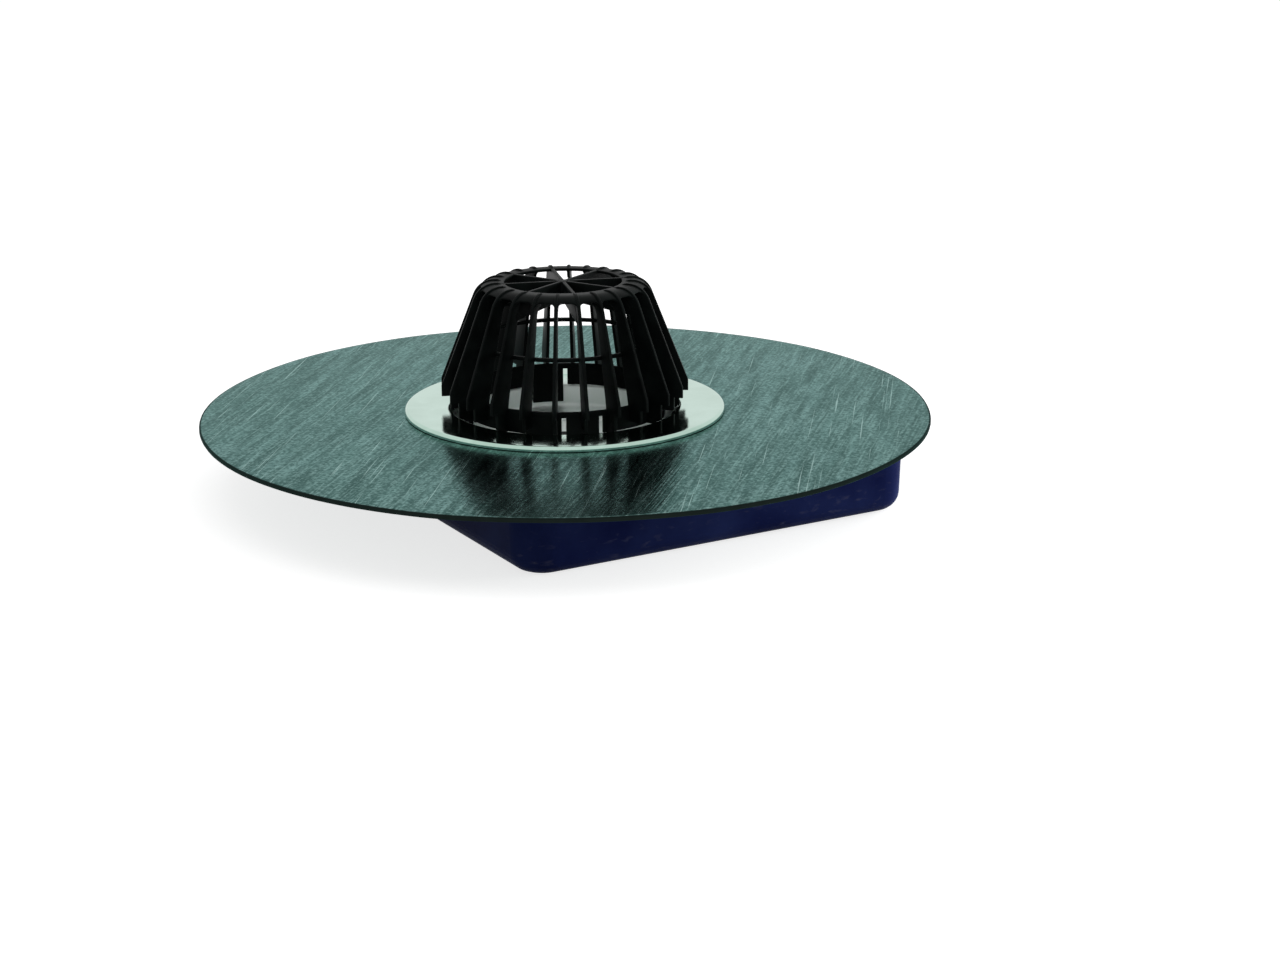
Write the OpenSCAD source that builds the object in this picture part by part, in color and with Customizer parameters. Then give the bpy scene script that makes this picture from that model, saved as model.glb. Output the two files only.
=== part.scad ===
// Flat roof drain: a leaf guard over a pressed stainless bowl, whose rim clamps
// a round lead collar. The bowl drains through a push-in socket in the floor of
// a moulded housing tray, which is filled with rigid insulation foam.
// All sizes are in millimetres. The drain's axis is the Z axis, and the tray
// stands on z = 0.

/* [Collar] */
// Diameter of the lead collar
collar_d = 500; // [440:10:600]
// Thickness of the lead sheet
collar_t = 3; // [2:0.5:4]

/* [Bowl] */
// Diameter of the mouth, where the rim turns down into the bowl
mouth_d = 160; // [156:1:192]
// Width of the rim, from the mouth to its outer edge
rim_w = 30; // [28:1:36]
// Height of the rim's top face above the collar
rim_h = 3.8; // [3.4:0.1:5]
// Thickness of the stainless sheet
bowl_t = 1.5; // [1:0.1:2]
// Radius of the rolled outer edge of the rim
rim_edge_r = 2.3; // [1.8:0.1:3]
// Width of the sloping mouth, from its edge to the neck that the guard's tongues grip
slope_w = 10.5; // [9.5:0.5:12]
// Fall of the mouth below level, in degrees
mouth_fall = 28; // [22:1:34]
// Depth of the bowl's floor below the collar, at the foot of the neck
floor_depth = 18; // [17:0.5:19]

/* [Leaf guard] */
// Number of fins
fin_count = 24; // [16:8:32]
// Thickness of a fin
fin_t = 2.4; // [1.6:0.1:3]
// Reach of the fins' feet over the rim, outside the mouth
foot_over = 5; // [3:0.5:8]
// Height of the fins above the collar
guard_h = 91; // [80:0.5:110]
// Lean of the fins from upright, in degrees
fin_lean = 21.5; // [16:0.5:24]
// Radius of the shoulder of a fin
shoulder_r = 16; // [12:0.5:20]
// Radial width of a fin just under its shoulder
fin_w = 12; // [9:0.5:14]
// Inset of the top ring's outside from the middle of the shoulders
ring_in = 2.7; // [1.5:0.1:8]
// Height of the hoop inside the fins, above the collar
hoop_h = 49; // [35:1:60]
// Height of the top of the skirt above the collar
skirt_h = 15.5; // [12:0.5:20]
// Width of a snap tongue
tongue_w = 22; // [16:1:26]
// Number of snap tongues
tongue_count = 4; // [2:1:4]
// Turn of the guard about the drain's axis, in degrees
guard_turn = 26.7; // [0:0.1:45]

/* [Housing] */
// Reach of the tray from the drain's axis, on its longer side
tray_far = 172.5; // [150:0.5:190]
// Room between the clamp ring and the tray's wall, on its shorter side
tray_room = 9.5; // [4:0.5:20]
// Width of the tray along Y
tray_y = 342; // [320:1:370]
// Height of the tray
tray_h = 52; // [52:1:70]
// Wall of the tray
tray_wall = 3; // [2:0.5:4]
// Radius of the tray's upright corners
corner_r = 24; // [18:1:40]
// Radius of the tray's bottom edge
bottom_r = 12; // [6:1:14]
// Draft of the tray's walls, in degrees
draft = 2; // [1:0.5:3]

/* [Clamp] */
// Number of clamp bolts
bolt_count = 6; // [4:1:8]
// Distance of the bolts from the mouth's edge
bolt_in = 16; // [14:0.5:17]
// Thread diameter of a clamp bolt
bolt_d = 6; // [5:1:6]
// Length of a clamp bolt under its head
bolt_len = 40; // [33:1:48]
// Thickness of the clamp ring
clamp_t = 5; // [4:0.5:6]
// Thickness of the lower gasket
gasket_t = 2; // [1.5:0.5:3]

/* [Outlet] */
// Outside diameter of the downpipe that the socket takes
pipe_d = 110; // [90:1:112]
// Inset of the spigot's inside from the outside of the pipe
spigot_in = 5; // [4.5:0.5:8]
// Depth of the pipe socket
socket_depth = 24; // [22:1:24]
// Wall of the socket
socket_wall = 3.2; // [2.6:0.1:4]

/* [Hidden] */
$fn = 96;

// Clearances
slip = 0.3;            // between pieces that sit in each other
seat_gap = 0.3;        // between the guard's feet and the bowl
bolt_clear = 0.3;      // around a bolt or a bush

// Levels
collar_z = tray_h + collar_t;              // top face of the collar
rim_z = collar_z + rim_h;                  // top face of the rim
rim_under_z = rim_z - bowl_t;              // underside of the rim
clamp_top_z = tray_h - gasket_t;           // top face of the clamp ring
clamp_z = clamp_top_z - clamp_t;           // underside of the clamp ring, on the posts

// Points on an arc about a centre, from one angle to another
function arc(centre, r, from, to, steps = 6) = [
    for (i = [0:steps])
        let (a = from + (to - from) * i / steps)
            centre + r * [cos(a), sin(a)]
];

// A path's unit normal on the left of the stretch from p to q
function left_normal(p, q) = let (d = (q - p) / norm(q - p)) [-d[1], d[0]];

// The path moved sideways by t, with mitred corners
function shifted(path, t) = [
    for (i = [0:len(path) - 1])
        let (
            last = len(path) - 1,
            before = left_normal(path[max(i - 1, 0)], path[max(i, 1)]),
            after = left_normal(path[min(i, last - 1)], path[min(i + 1, last)])
        )
            path[i] + t * (before + after) / (1 + before * after)
];

function reversed(path) = [for (i = [len(path) - 1:-1:0]) path[i]];

// A sheet of thickness t, on the left of the path, turned about the axis
module turned_sheet(path, t) {
    rotate_extrude()
        polygon(concat(path, reversed(shifted(path, t))));
}

// A ring of square section between two radii and two levels
module ring(r_in, r_out, z_low, z_high) {
    rotate_extrude()
        translate([r_in, z_low])
            square([r_out - r_in, z_high - z_low]);
}

// Copies of what follows at each bolt of the clamp
module at_bolts() {
    for (i = [0:bolt_count - 1])
        rotate(360 * i / bolt_count)
            translate([mouth_d / 2 + bolt_in, 0, 0])
                children();
}

// ---- Leaf guard ----

mouth_r = mouth_d / 2;
neck_r = mouth_r - slope_w;
mouth_edge_r = 3;                                 // radius at both ends of the sloping mouth
slope_top = [                                     // upper end of the mouth's slope
    mouth_r + 1 - mouth_edge_r * sin(mouth_fall),
    rim_z - mouth_edge_r * (1 - cos(mouth_fall))
];
foot_r = mouth_r + foot_over;                     // outside of the fins' feet
foot_z = collar_z + 14;                           // underside of the outer foot
foot_top_z = collar_z + 21.5;                     // where the fin starts to lean
fin_top_z = collar_z + guard_h;                   // top of the fins
locate_r = mouth_r - 1;                           // the inner foot stands in the mouth
heel_z = collar_z;                                // lowest point of the heel
// The heel slopes like the bowl's mouth and stands off it by the seat gap
heel_rise = slope_top[1] + seat_gap / cos(mouth_fall) - heel_z;
heel_r = slope_top[0] - heel_rise / tan(mouth_fall);
heel_top_z = heel_z + (locate_r - heel_r) * tan(mouth_fall);
skirt_t = 2;                                      // wall of the skirt
skirt_r = neck_r - 1.5 - skirt_t;                 // inside of the skirt, clear of the neck
short_heel_z = rim_z + 1.2;                       // lowest point of every other fin
ring_top_z = fin_top_z - 1;                       // top of the top ring and of the crown
ring_t = 2;                                       // height of the top ring
ring_w = 4;                                       // radial width of the top ring
spoke_count = fin_count / 3;                      // a spoke meets every third fin
hub_r = 4.5;                                      // radius of the hub
spoke_t = 2.6;                                    // width of a spoke
spoke_h = 12.8;                                   // depth of a spoke at the hub
spoke_fall = 4.5;                                 // fall of its lower edge out to the fin
crown_t = 1.6;                                    // wall of the crown
crown_end = 55;                                   // where the crown ends on the shoulder, in degrees
hoop_t = 2.5;                                     // height of the hoop
hoop_w = 3.5;                                     // radial width of the hoop
tongue_depth = 12.5;                              // reach of a tongue below the collar
tongue_slot = 3;                                  // width of the slot beside a tongue
slot_land = 4;                                    // skirt left over the slots
barb_r = neck_r - seat_gap;                       // outside of a tongue's barb

// Centre of the shoulder arc: one radius inside the leaning edge and the top
lean_run = (fin_top_z - foot_top_z - shoulder_r * (1 - sin(fin_lean))) / cos(fin_lean);
shoulder_c = [
    foot_r - lean_run * sin(fin_lean) - shoulder_r * cos(fin_lean),
    fin_top_z - shoulder_r
];
top_ring_r = shoulder_c[0] - ring_in;             // outside of the top ring
inner_r = shoulder_r - fin_w * 0.75;              // inside radius of the shoulder
fin_inner_top = shoulder_c + inner_r * [cos(fin_lean), sin(fin_lean)];

// Outline of one fin in the plane of radius and height. A long fin stands on the
// bowl's slope with its heel, and a short one ends just over the rim.
function fin_outline(long) = concat(
    [
        [foot_r, foot_z],
        [foot_r, foot_top_z]
    ],
    arc(shoulder_c, shoulder_r, fin_lean, 90, 8),
    [
        [top_ring_r + 1, fin_top_z],
        [top_ring_r - ring_w / 2, ring_top_z],
        [top_ring_r - ring_w / 2, ring_top_z - ring_t]
    ],
    arc(shoulder_c, inner_r, 90, fin_lean, 5),
    [
        [skirt_r + skirt_t / 2, collar_z + skirt_h]
    ],
    long ? [
        [skirt_r + skirt_t / 2, heel_z],
        [heel_r, heel_z],
        [locate_r, heel_top_z]
    ] : [
        [skirt_r + skirt_t / 2, short_heel_z],
        [locate_r, short_heel_z]
    ],
    [
        [locate_r, foot_z]
    ]
);

module leaf_guard() {
    color("#17191c")
        rotate(guard_turn) {
            for (i = [0:fin_count - 1])
                rotate(360 * i / fin_count)
                    rotate([90, 0, 0])
                        linear_extrude(fin_t, center = true)
                            polygon(fin_outline(long = i % 2 == 0));
            guard_crown();
            guard_hoop();
            guard_spokes();
            guard_skirt();
        }
}

// The crown closes the fins' shoulders: the top ring and a curved wall that runs
// out from it just under the fins' edges
module guard_crown() {
    crown_r = shoulder_r - (fin_top_z - ring_top_z);
    rotate_extrude()
        polygon(concat(
            [
                [top_ring_r, ring_top_z - ring_t],
                [top_ring_r - ring_w, ring_top_z - ring_t],
                [top_ring_r - ring_w, ring_top_z]
            ],
            arc(shoulder_c, crown_r, 90, crown_end, 5),
            arc(shoulder_c, crown_r - crown_t, crown_end, 90, 5),
            [[top_ring_r, ring_top_z - crown_t]]
        ));
}

// The hoop ties the fins' inner edges together half way up
hoop_z = collar_z + hoop_h;
hoop_t_along = (hoop_z - collar_z - skirt_h) / (fin_inner_top[1] - collar_z - skirt_h);
hoop_r = skirt_r + skirt_t / 2 + (fin_inner_top[0] - skirt_r - skirt_t / 2) * hoop_t_along;
module guard_hoop() {
    ring(hoop_r - hoop_w / 2, hoop_r + hoop_w / 2, hoop_z - hoop_t / 2, hoop_z + hoop_t / 2);
}

// The spokes are ribs on edge that run from the hub into every third fin
module guard_spokes() {
    translate([0, 0, ring_top_z - spoke_h])
        cylinder(r = hub_r, h = spoke_h);
    for (i = [0:spoke_count - 1])
        rotate(360 * i / spoke_count)
            rotate([90, 0, 0])
                linear_extrude(spoke_t, center = true)
                    polygon([
                        [hub_r / 2, ring_top_z],
                        [hub_r / 2, ring_top_z - spoke_h],
                        [fin_inner_top[0] + fin_w / 5, ring_top_z - spoke_h - spoke_fall],
                        [shoulder_c[0], ring_top_z]
                    ]);
}

// The skirt is slit beside each tongue, and the tongues hang down into the neck
module guard_skirt() {
    skirt_top_z = collar_z + skirt_h;
    tongue_low_z = collar_z - tongue_depth;
    slit_angle = (tongue_w + tongue_slot) / (skirt_r * 2 * PI) * 360;
    difference() {
        ring(skirt_r, skirt_r + skirt_t, heel_z, skirt_top_z);
        for (i = [0:tongue_count - 1], side = [-1, 1])
            rotate(45 + 360 * i / tongue_count + side * slit_angle / 2)
                translate([skirt_r - 1, -tongue_slot / 2, heel_z - 1])
                    cube([skirt_t + 2, tongue_slot, skirt_h - slot_land + 1]);
    }
    for (i = [0:tongue_count - 1])
        rotate(45 + 360 * i / tongue_count)
            intersection() {
                rotate_extrude()
                    polygon([
                        [skirt_r, skirt_top_z - 4],
                        [skirt_r, tongue_low_z],
                        [skirt_r + skirt_t - 0.5, tongue_low_z],
                        [barb_r, tongue_low_z + 2.5],
                        [skirt_r + skirt_t, tongue_low_z + 4],
                        [skirt_r + skirt_t, skirt_top_z - 4]
                    ]);
                translate([0, -tongue_w / 2, tongue_low_z - 1])
                    cube([skirt_r * 1.2, tongue_w, tongue_depth + skirt_h + 2]);
            }
}

// ---- Drain bowl ----

rim_r = mouth_r + rim_w;
spigot_r = pipe_d / 2 - spigot_in;
neck_bend_r = 4;                                  // radius at the foot of the neck
spigot_bend_r = 4;                                // radius into the spigot
floor_fall = 1.5;                                 // fall of the floor to the spigot
bowl_floor_z = collar_z - floor_depth;
spigot_low_z = socket_depth + 0.5;

// The bowl's upper surface from the edge of the rim to the end of the spigot
function bowl_path() = let (
    edge_c = [rim_r - rim_edge_r, rim_z - rim_edge_r],
    mouth_c = [mouth_r + 1, rim_z - mouth_edge_r],
    slope_run = mouth_c[0] - neck_r - mouth_edge_r,
    neck_top_c = [neck_r + mouth_edge_r, mouth_c[1] - slope_run * tan(mouth_fall)],
    neck_c = [neck_r - neck_bend_r, bowl_floor_z + neck_bend_r],
    spigot_c = [spigot_r + spigot_bend_r, bowl_floor_z - floor_fall - spigot_bend_r]
) concat(
    [[rim_r, collar_z + 0.4]],
    arc(edge_c, rim_edge_r, 0, 90),
    arc(mouth_c, mouth_edge_r, 90, 90 + mouth_fall, 3),
    arc(neck_top_c, mouth_edge_r, 90 + mouth_fall, 180, 5),
    arc(neck_c, neck_bend_r, 0, -90, 5),
    arc(spigot_c, spigot_bend_r, 90, 180, 5),
    [[spigot_r, spigot_low_z]]
);

module drain_bowl() {
    color("#cdd9d8")
        turned_sheet(bowl_path(), bowl_t);
}

// ---- Clamp: what holds the rim, the collar and the tray together ----

bush_d = bolt_d + 3;                              // outside of a bush
bush_z = clamp_top_z - 3;                         // lower end of a bush, inside the clamp ring
gasket_in_r = mouth_r + 7;
gasket_out_r = rim_r - rim_edge_r - bowl_t - slip;
clamp_out_r = rim_r - 2;
collar_hole_r = mouth_r + 5;
post_r = bolt_d / 2 + 6.5;                        // outside of a post in the tray
head_d = bolt_d * 5 / 3;                          // socket head of a bolt
head_h = bolt_d;
washer_d = bolt_d * 2;
washer_t = 1.6;
counterbore_d = washer_d + 1;
bolt_top_z = rim_under_z - 1;
washer_z = bolt_top_z - bolt_len;                 // underside of a washer, on the bolt's head
counterbore_z = washer_z + washer_t;              // shoulder that the washer bears on

// Bushes welded under the rim, tapped for the bolts
module rim_bushes() {
    color("#b9c4c3")
        at_bolts()
            difference() {
                translate([0, 0, bush_z])
                    cylinder(d = bush_d, h = rim_under_z - bush_z);
                translate([0, 0, bush_z - 1])
                    cylinder(d = bolt_d + 2 * bolt_clear / 3, h = rim_under_z - bush_z + 2);
            }
}

// A flat ring with holes for the bushes
module drilled_ring(r_in, r_out, z_low, z_high) {
    difference() {
        ring(r_in, r_out, z_low, z_high);
        at_bolts()
            translate([0, 0, z_low - 1])
                cylinder(d = bush_d + 2 * bolt_clear, h = z_high - z_low + 2);
    }
}

module upper_gasket() {
    color("#1b1b1b")
        drilled_ring(gasket_in_r, gasket_out_r, collar_z, rim_under_z);
}

module collar_sheet() {
    edge_r = collar_t / 4;                        // the sheet's cut edge is slightly rounded
    color("#5f6b69")
        difference() {
            rotate_extrude()
                polygon(concat(
                    [[collar_hole_r, tray_h]],
                    arc([collar_d / 2 - edge_r, tray_h + edge_r], edge_r, -90, 0, 4),
                    arc([collar_d / 2 - edge_r, collar_z - edge_r], edge_r, 0, 90, 4),
                    [[collar_hole_r, collar_z]]
                ));
            at_bolts()
                translate([0, 0, tray_h - 1])
                    cylinder(d = bush_d + 2 * bolt_clear, h = collar_t + 2);
        }
}

module lower_gasket() {
    color("#1b1b1b")
        drilled_ring(gasket_in_r, gasket_out_r, clamp_top_z, tray_h);
}

module clamp_ring() {
    color("#9aa3a5")
        drilled_ring(collar_hole_r, clamp_out_r, clamp_z, clamp_top_z);
}

module clamp_bolts() {
    color("#a9afb2")
        at_bolts()
            difference() {
                union() {
                    translate([0, 0, washer_z - head_h])
                        cylinder(d = head_d, h = head_h);
                    translate([0, 0, washer_z - 1])
                        cylinder(d = bolt_d, h = bolt_len + 1);
                }
                translate([0, 0, washer_z - head_h - 1])
                    cylinder(d = bolt_d * 0.96, h = head_h / 2 + 1, $fn = 6);
            }
}

module bolt_washers() {
    color("#a9afb2")
        at_bolts()
            difference() {
                translate([0, 0, washer_z])
                    cylinder(d = washer_d, h = washer_t);
                translate([0, 0, washer_z - 1])
                    cylinder(d = bolt_d + 2 * bolt_clear, h = washer_t + 2);
            }
}

// ---- Outlet: the pipe socket in the tray's floor ----

bore_r = pipe_d / 2 + slip;                       // inside of the socket
socket_r = bore_r + socket_wall;                  // outside of the socket
groove_depth = 5;                                 // of the lip seal's groove
groove_low_z = 9;
groove_h = 7;
bulge_r = bore_r + groove_depth + socket_wall;    // outside of the socket over the groove
socket_flange_r = bulge_r + 14;
socket_flange_t = 3;
socket_gasket_t = 1;
socket_flange_z = tray_wall + socket_gasket_t;
throat_r = spigot_r + bowl_t + slip;              // inside of the socket round the spigot
socket_top_z = bowl_floor_z - floor_fall - spigot_bend_r + 0.5;
ring_low_z = socket_depth + 1.8;                  // groove of the spigot ring
ring_h = 4;
ring_depth = 2.6;
screw_count = 6;
screw_circle_r = bulge_r + 7.5;
screw_d = 4;

module outlet_socket() {
    color("#202327")
        difference() {
            rotate_extrude()
                polygon([
                    [bore_r, 0],
                    [socket_r, 0],
                    [socket_r, socket_flange_z],
                    [socket_flange_r, socket_flange_z],
                    [socket_flange_r, socket_flange_z + socket_flange_t],
                    [bulge_r, socket_flange_z + socket_flange_t],
                    [bulge_r, groove_low_z + groove_h + socket_wall],
                    [socket_r, groove_low_z + groove_h + socket_wall + groove_depth],
                    [socket_r, socket_top_z],
                    [throat_r, socket_top_z],
                    [throat_r, ring_low_z + ring_h],
                    [throat_r + ring_depth, ring_low_z + ring_h],
                    [throat_r + ring_depth, ring_low_z],
                    [throat_r, ring_low_z],
                    [throat_r, socket_depth],
                    [bore_r, socket_depth],
                    [bore_r, groove_low_z + groove_h],
                    [bore_r + groove_depth, groove_low_z + groove_h],
                    [bore_r + groove_depth, groove_low_z],
                    [bore_r, groove_low_z]
                ]);
            at_screws()
                translate([0, 0, socket_flange_z - 1])
                    cylinder(d = screw_d + 2 * bolt_clear, h = socket_flange_t + 2);
        }
}

module at_screws() {
    for (i = [0:screw_count - 1])
        rotate(30 + 360 * i / screw_count)
            translate([screw_circle_r, 0, 0])
                children();
}

// Lip seal in the socket's groove, with its lips pressed back as a pipe leaves them
module pipe_lip_seal() {
    color("#2a2a2a")
        rotate_extrude()
            polygon([
                [bore_r + 0.1, groove_low_z + slip / 3],
                [bore_r + groove_depth - 0.1, groove_low_z + slip / 3],
                [bore_r + groove_depth - 0.1, groove_low_z + groove_h - slip / 3],
                [bore_r + 2.4, groove_low_z + groove_h - slip / 3],
                [bore_r + 0.1, groove_low_z + groove_h - 1.2],
                [bore_r + 1.2, groove_low_z + groove_h - 2.2],
                [bore_r + 1.8, groove_low_z + groove_h / 2],
                [bore_r + 0.1, groove_low_z + 2]
            ]);
}

// Sealing ring between the socket and the bowl's spigot
module spigot_ring() {
    color("#2a2a2a")
        ring(spigot_r + bowl_t + 0.05, throat_r + ring_depth - 0.05,
             ring_low_z + 0.1, ring_low_z + ring_h - 0.1);
}

module socket_gasket() {
    color("#1b1b1b")
        difference() {
            ring(socket_r + slip, socket_flange_r, tray_wall, socket_flange_z);
            at_screws()
                cylinder(d = screw_d + 2 * bolt_clear, h = socket_flange_z + 1);
        }
}

// Countersunk screws from below, with nuts on the socket's flange
screw_head_d = screw_d * 2;
screw_head_h = 2.4;
screw_nut_h = 3.2;
module socket_screws() {
    color("#a9afb2")
        at_screws() {
            cylinder(d1 = screw_head_d, d2 = screw_d, h = screw_head_h);
            cylinder(d = screw_d, h = socket_flange_z + socket_flange_t + screw_nut_h + 1);
            translate([0, 0, socket_flange_z + socket_flange_t])
                cylinder(d = screw_d * 1.9, h = screw_nut_h, $fn = 6);
        }
}

// ---- Housing ----

tray_near = clamp_out_r + tray_room + tray_wall;  // reach on the shorter side
tray_x = tray_near + tray_far;
tray_shift = (tray_far - tray_near) / 2;          // of the tray's middle from the axis

// The outer edge of a tub's wall, from its floor to its brim. The wall leans out
// by the draft, reaches radius rc at the brim, and meets the floor in a radius rb.
function tub_edge(rc, rb, z_low, z_high) = let (
    bend_x = rc - (z_high - z_low - rb) * tan(draft) - rb / cos(draft)
) concat(
    arc([bend_x, z_low + rb], rb, -90, -draft),
    [[rc, z_high]]
);

// A tub with upright corners of radius rc at the brim: a block in the middle,
// four straight sides and four quarter-turned corners
module tub(size_x, size_y, rc, rb, z_low, z_high) {
    straight = [size_x - 2 * rc, size_y - 2 * rc];
    section = concat([[0, z_low]], tub_edge(rc, rb, z_low, z_high), [[0, z_high]]);
    translate([-straight[0] / 2, -straight[1] / 2, z_low])
        cube([straight[0], straight[1], z_high - z_low]);
    for (side = [0:3])
        rotate(90 * side)
            translate([straight[side % 2] / 2, 0, 0]) {
                length = straight[(side + 1) % 2];
                rotate([90, 0, 0])
                    linear_extrude(length, center = true)
                        polygon(section);
                translate([0, length / 2, 0])
                    rotate_extrude(angle = 90)
                        polygon(section);
            }
}

module housing_tray() {
    color("#14163a")
        difference() {
            union() {
                difference() {
                    translate([tray_shift, 0, 0])
                        tub(tray_x, tray_y, corner_r, bottom_r, 0, tray_h);
                    translate([tray_shift, 0, 0])
                        tub(tray_x - 2 * tray_wall, tray_y - 2 * tray_wall,
                            corner_r - tray_wall, bottom_r - tray_wall,
                            tray_wall, tray_h + 1);
                }
                at_bolts()
                    cylinder(r = post_r, h = clamp_z);
            }
            at_bolts()
                translate([0, 0, -1])
                    cylinder(d = bolt_d + 2 * bolt_clear, h = clamp_z + 2);
            at_bolts()
                translate([0, 0, -1])
                    cylinder(d = counterbore_d, h = counterbore_z + 1);
            translate([0, 0, -1])
                cylinder(r = socket_r + slip, h = tray_wall + 2);
            at_screws() {
                translate([0, 0, -1])
                    cylinder(d = screw_d + 2 * bolt_clear, h = tray_wall + 2);
                translate([0, 0, -0.01])
                    cylinder(d1 = screw_head_d + 1, d2 = screw_d, h = screw_head_h + 0.5);
            }
        }
}

// The foam fills the tray up to the brim, round the posts, the socket and the bowl
module insulation_core() {
    color("#d8d2b0")
        difference() {
            translate([tray_shift, 0, 0])
                tub(tray_x - 2 * tray_wall - 2 * slip, tray_y - 2 * tray_wall - 2 * slip,
                    corner_r - tray_wall - slip, bottom_r - tray_wall,
                    tray_wall, tray_h);
            translate([0, 0, clamp_z])
                cylinder(r = clamp_out_r + slip, h = tray_h);
            translate([0, 0, bowl_floor_z - bowl_t - 3])
                cylinder(r = mouth_r + bowl_t + 1, h = tray_h);
            translate([0, 0, -1])
                cylinder(r = socket_flange_r + slip, h = bowl_floor_z);
            at_bolts()
                cylinder(r = post_r + slip, h = tray_h);
        }
}

leaf_guard();
drain_bowl();
rim_bushes();
upper_gasket();
collar_sheet();
lower_gasket();
clamp_ring();
clamp_bolts();
bolt_washers();
insulation_core();
housing_tray();
outlet_socket();
pipe_lip_seal();
spigot_ring();
socket_gasket();
socket_screws();
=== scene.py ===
"""Flat roof drain: the looks of its pieces, from the housing tray up to the leaf guard."""

import math

import bpy
import numpy as np
from mathutils import Matrix, Vector


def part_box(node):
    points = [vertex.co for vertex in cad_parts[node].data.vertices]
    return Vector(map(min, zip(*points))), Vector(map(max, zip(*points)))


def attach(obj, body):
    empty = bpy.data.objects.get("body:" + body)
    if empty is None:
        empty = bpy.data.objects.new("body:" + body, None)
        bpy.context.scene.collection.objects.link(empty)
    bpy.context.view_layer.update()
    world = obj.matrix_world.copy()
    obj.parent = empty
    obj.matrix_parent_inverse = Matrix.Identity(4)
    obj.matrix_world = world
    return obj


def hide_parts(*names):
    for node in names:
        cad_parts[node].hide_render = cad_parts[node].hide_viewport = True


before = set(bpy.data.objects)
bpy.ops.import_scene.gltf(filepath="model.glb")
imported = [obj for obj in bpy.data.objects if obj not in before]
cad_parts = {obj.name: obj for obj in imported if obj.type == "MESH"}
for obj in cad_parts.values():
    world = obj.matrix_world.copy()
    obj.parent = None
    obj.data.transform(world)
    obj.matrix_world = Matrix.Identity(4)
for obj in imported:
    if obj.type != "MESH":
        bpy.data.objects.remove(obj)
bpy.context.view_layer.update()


# ---- Housing tray ----
# A tub with rounded corners, injection moulded in dark blue plastic. It is let
# into the roof's insulation, and its sides carry pale scuffs, thicker towards the bottom.

mm = 0.001


def base_finish(name, colour, roughness, metallic=0.0, gloss=0.5):
    """A material with one shader, whose even values are set on the shader's own sockets. A
    colour or roughness that a pattern is linked to later is only a rough stand-in for it."""
    material = bpy.data.materials.new(name)
    material.use_nodes = True
    shader = material.node_tree.nodes["Principled BSDF"]
    shader.inputs["Base Color"].default_value = (*colour, 1.0)
    shader.inputs["Roughness"].default_value = roughness
    shader.inputs["Metallic"].default_value = metallic
    shader.inputs["Specular IOR Level"].default_value = gloss
    return material, material.node_tree, shader


def grain(tree, scale, detail=4.0, stretch=(1.0, 1.0, 1.0), turn=0.0, warp=0.0):
    """Noise over the piece's own coordinates, from 0 to 1, turned about Z by some degrees.
    A stretch under 1 along an axis packs the noise along it, so that streaks run across it."""
    place = tree.nodes.new("ShaderNodeTexCoord")
    turned_place = tree.nodes.new("ShaderNodeMapping")
    turned_place.vector_type = "TEXTURE"
    turned_place.inputs["Rotation"].default_value = (0.0, 0.0, math.radians(turn))
    turned_place.inputs["Scale"].default_value = stretch
    noise = tree.nodes.new("ShaderNodeTexNoise")
    noise.inputs["Scale"].default_value = scale
    noise.inputs["Detail"].default_value = detail
    noise.inputs["Distortion"].default_value = warp
    tree.links.new(place.outputs["Object"], turned_place.inputs["Vector"])
    tree.links.new(turned_place.outputs["Vector"], noise.inputs["Vector"])
    return noise.outputs["Fac"]


def ramp(tree, factor, *stops):
    """Colours along a factor: each stop is a place from 0 to 1 and a colour."""
    node = tree.nodes.new("ShaderNodeValToRGB")
    elements = node.color_ramp.elements
    while len(elements) < len(stops):
        elements.new(0.5)
    for element, (place, colour) in zip(elements, stops):
        element.position = place
        element.color = (*colour, 1.0)
    tree.links.new(factor, node.inputs["Fac"])
    return node.outputs["Color"]


def spread(tree, factor, low, high, start=0.0, end=1.0):
    """A factor from start to end, taken to the range from low to high and held there."""
    node = tree.nodes.new("ShaderNodeMapRange")
    node.inputs["From Min"].default_value = start
    node.inputs["From Max"].default_value = end
    node.inputs["To Min"].default_value = low
    node.inputs["To Max"].default_value = high
    tree.links.new(factor, node.inputs["Value"])
    return node.outputs["Result"]


def combine(tree, operation, first, second):
    """Two factors, or a factor and a number, put together by a Math node."""
    node = tree.nodes.new("ShaderNodeMath")
    node.operation = operation
    for socket, value in zip(node.inputs, (first, second)):
        if isinstance(value, (int, float)):
            socket.default_value = value
        else:
            tree.links.new(value, socket)
    return node.outputs["Value"]


def blended(tree, factor, first, second):
    """A linked colour mixed with a plain one by a factor: at 0 the first, at 1 the second."""
    node = tree.nodes.new("ShaderNodeMix")
    node.data_type = "RGBA"
    node.inputs["B"].default_value = (*second, 1.0)
    tree.links.new(factor, node.inputs["Factor"])
    tree.links.new(first, node.inputs["A"])
    return node.outputs["Result"]


def relief(tree, shader, height, depth):
    """Bump of a given depth in metres from a height that runs from 0 to 1."""
    bump = tree.nodes.new("ShaderNodeBump")
    bump.inputs["Distance"].default_value = depth
    bump.inputs["Strength"].default_value = 1.0
    tree.links.new(height, bump.inputs["Height"])
    tree.links.new(bump.outputs["Normal"], shader.inputs["Normal"])


def height_above_base(tree):
    """The height of a point above the tray's bottom, in metres."""
    place = tree.nodes.new("ShaderNodeTexCoord")
    parts = tree.nodes.new("ShaderNodeSeparateXYZ")
    tree.links.new(place.outputs["Object"], parts.inputs["Vector"])
    return parts.outputs["Z"]


def give(node_name, material):
    """The material on every slot of a CAD node."""
    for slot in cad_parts[node_name].material_slots:
        slot.material = material


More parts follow.
